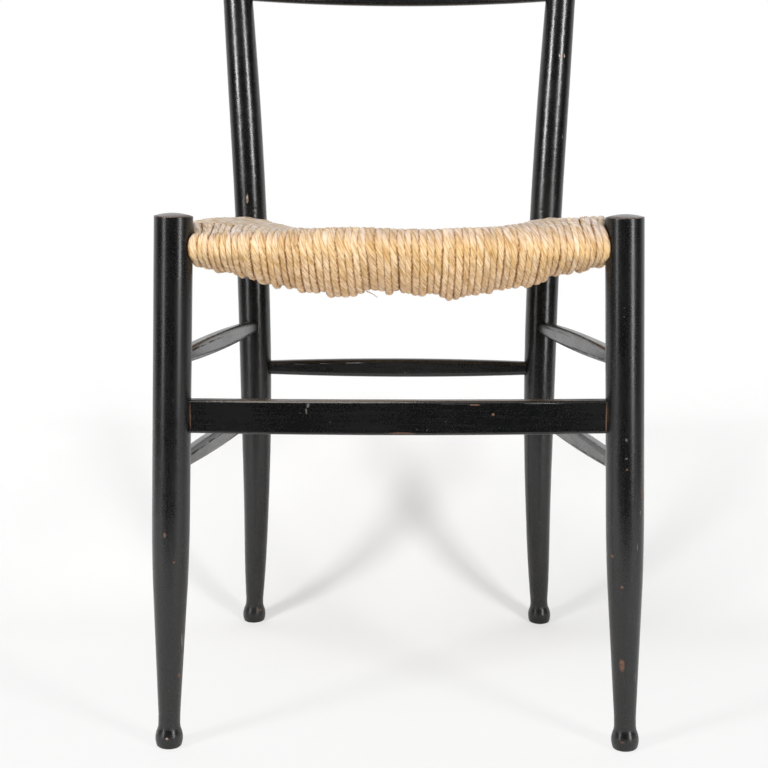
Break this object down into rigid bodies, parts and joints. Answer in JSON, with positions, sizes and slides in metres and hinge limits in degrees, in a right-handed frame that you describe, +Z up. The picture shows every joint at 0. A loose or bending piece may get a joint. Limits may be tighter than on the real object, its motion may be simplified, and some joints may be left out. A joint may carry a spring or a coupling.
{
  "type": "ladderback chair",
  "caption": "Armless ladderback dining chair with turned black legs, bowed slats and a woven rush seat.",
  "frame": {"origin": "on the floor, under the middle of the chair's outer box", "axes": "+Z up, +Y to the back of the chair, +X to the viewer's right when it is seen from the front"},
  "size_m": [0.4326, 0.4596, 0.9607],
  "materials": {
    "black_lacquer": "satin black lacquer, rubbed and chipped",
    "bare_wood": "plain turned wood",
    "rush_cord": "twisted rush, matt with a slight sheen",
    "straw_stuffing": "matt straw"
  },
  "bodies": {
    "root": {"front_leg_left": "black_lacquer", "front_leg_right": "black_lacquer", "back_post_left": "black_lacquer", "back_post_right": "black_lacquer", "front_stretcher": "black_lacquer", "back_stretcher": "black_lacquer", "side_stretcher_upper_left": "black_lacquer", "side_stretcher_upper_right": "black_lacquer", "side_stretcher_lower_left": "black_lacquer", "side_stretcher_lower_right": "black_lacquer", "slat_lowest": "black_lacquer", "slat_lower_middle": "black_lacquer", "slat_upper_middle": "black_lacquer", "slat_top": "black_lacquer", "seat_rail_front": "bare_wood", "seat_rail_back": "bare_wood", "seat_rail_left": "bare_wood", "seat_rail_right": "bare_wood", "rush_seat": "rush_cord", "stuffing_front": "straw_stuffing", "stuffing_back": "straw_stuffing", "stuffing_left": "straw_stuffing", "stuffing_right": "straw_stuffing"}
  },
  "joints": []
}
